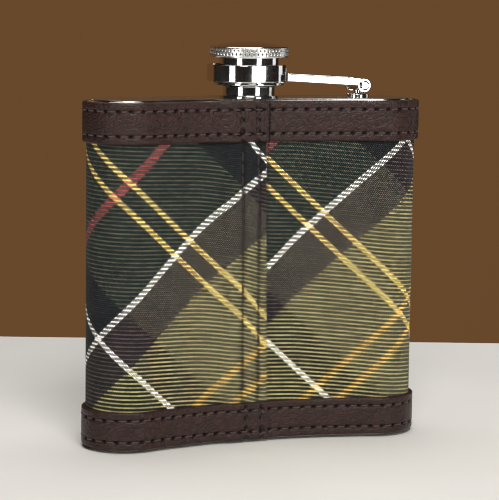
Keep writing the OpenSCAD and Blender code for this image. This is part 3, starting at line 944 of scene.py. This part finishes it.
f = Finish("washer_rubber", Roughness=0.7, Specular_IOR_Level=0.3)
dust = f.noise(f.place(), 1300.0, 4.0, 0.6)
rubber = f.wear(f.mix(dust, (0.34, 0.34, 0.33, 1), (0.46, 0.46, 0.44, 1)),
                f.spread(dust, 0.3, 0.7, 0.55, 0.78), f.bump(dust, 0.4, 0.0001))
points, faces = turned(rounded([(0.02, 102.55, 0), (7.25, 102.55, 0.2), (7.25, 103.33, 0.1),
                                (0.02, 103.33, 0)], 4), 96)
make_piece("cap_washer", points, faces, rubber, "cap", ["cap_gasket"])

points, faces = turned(rounded([(skirt_r, skirt_low, 0), (9.7, skirt_low, 0.25),
                                (9.7, 98.2, 0.25), (skirt_r, 98.2, 0)], 4), 120)
make_piece("cap_keeper", points, faces, chrome, "cap", ["cap_keeper_ring"])


# ---- The table and the room -----------------------------------------------------------
# A plain pale table top in a dim warm room, with soft lamps in front. None of it is part
# of the flask.

f = Finish("pale_table", Roughness=0.62, Specular_IOR_Level=0.3)
grain = f.noise(f.place(), 14.0, 4.0, 0.5)
pale = f.wear(f.mix(grain, (0.87, 0.855, 0.815, 1), (0.92, 0.905, 0.865, 1)),
              f.spread(grain, 0.3, 0.7, 0.5, 0.7), f.bump(grain, 0.1, 0.0005))
camera_yaw = math.radians(20.465)
table_turn = Matrix.Rotation(-camera_yaw, 3, "Z")
table = bpy.data.meshes.new("table_top")
table.from_pydata([table_turn @ Vector(p) for p in (
    (-1.3, -0.75, 0), (1.3, -0.75, 0), (1.3, 0.15, 0), (-1.3, 0.15, 0))], [], [(0, 1, 2, 3)])
table.materials.append(pale)
table_top = bpy.data.objects.new("table_top", table)
bpy.context.scene.collection.objects.link(table_top)

room = bpy.data.worlds.new("studio_room")
room.use_nodes = True
bpy.context.scene.world = room
walls = room.node_tree.nodes
aim = walls.new("ShaderNodeTexCoord")
parts = walls.new("ShaderNodeSeparateXYZ")
room.node_tree.links.new(aim.outputs["Generated"], parts.inputs[0])
behind = walls.new("ShaderNodeMapRange")
behind.interpolation_type = "SMOOTHSTEP"
behind.inputs[1].default_value, behind.inputs[2].default_value = 0.60, 0.90
room.node_tree.links.new(parts.outputs[1], behind.inputs[0])
wall_colour = walls.new("ShaderNodeMix")
wall_colour.data_type = "RGBA"
wall_colour.inputs[6].default_value = (0.016, 0.014, 0.013, 1)
wall_colour.inputs[7].default_value = (0.138, 0.066, 0.025, 1)
room.node_tree.links.new(behind.outputs[0], wall_colour.inputs[0])
room.node_tree.links.new(wall_colour.outputs[2], walls["Background"].inputs[0])
flask_middle = Vector((0, 0, 0.06))


def lamp(name, bearing, height, away, size, watts, colour=(1, 1, 1), lights=True):
    """A soft box aimed at the flask, at a bearing in degrees from straight in front towards
    the side away from the hinge. Without lights it only shows in the metal."""
    place = Vector((-math.sin(math.radians(bearing)) * away,
                    -math.cos(math.radians(bearing)) * away, height))
    data = bpy.data.lights.new(name, "AREA")
    data.shape, data.size, data.size_y = "RECTANGLE", size[0], size[1]
    data.energy, data.color = watts, colour
    made = bpy.data.objects.new(name, data)
    made.location = place
    made.rotation_mode = "QUATERNION"
    made.rotation_quaternion = (flask_middle - place).to_track_quat("-Z", "Y")
    made.visible_camera = False
    made.visible_diffuse = lights
    bpy.context.scene.collection.objects.link(made)


lamp("key_lamp", 12, 0.75, 0.75, (0.5, 0.5), 8.2, (1.0, 0.98, 0.95))
lamp("near_side_box", -20, 0.12, 0.95, (0.26, 0.45), 2.0)
lamp("far_side_box", 56, 0.14, 0.95, (0.27, 0.5), 2.2, lights=False)
lamp("end_box", -95, 0.25, 0.8, (0.3, 0.5), 0.5)
lamp("over_lamp", 180, 0.8, 0.15, (0.5, 0.5), 2.5)


# ---- The camera -----------------------------------------------------------------------
# A long lens, a little above the flask and on the side away from the hinge. It looks at
# the hollow side and is tipped by less than a degree.

dip, roll = math.radians(6.874), math.radians(0.788)
forward = Vector((math.sin(camera_yaw) * math.cos(dip), math.cos(camera_yaw) * math.cos(dip),
                  -math.sin(dip)))
level = Vector((math.cos(camera_yaw), -math.sin(camera_yaw), 0))
upward = level.cross(forward)
right = math.cos(roll) * level + math.sin(roll) * upward
above = -math.sin(roll) * level + math.cos(roll) * upward
turned_to = Matrix((right, above, -forward)).transposed().to_4x4()
lens = bpy.data.cameras.new("camera")
lens.lens, lens.sensor_width, lens.shift_x, lens.shift_y = 149.3, 36, -0.0243, -0.0549
lens.clip_start, lens.clip_end = 0.01, 20
camera = bpy.data.objects.new("camera", lens)
camera.matrix_world = Matrix.Translation((-0.19517, -0.53223, 0.12793)) @ turned_to
bpy.context.scene.collection.objects.link(camera)
bpy.context.scene.camera = camera
bpy.context.scene.view_settings.view_transform = "Standard"
bpy.context.scene.cycles.filter_width = 1.1
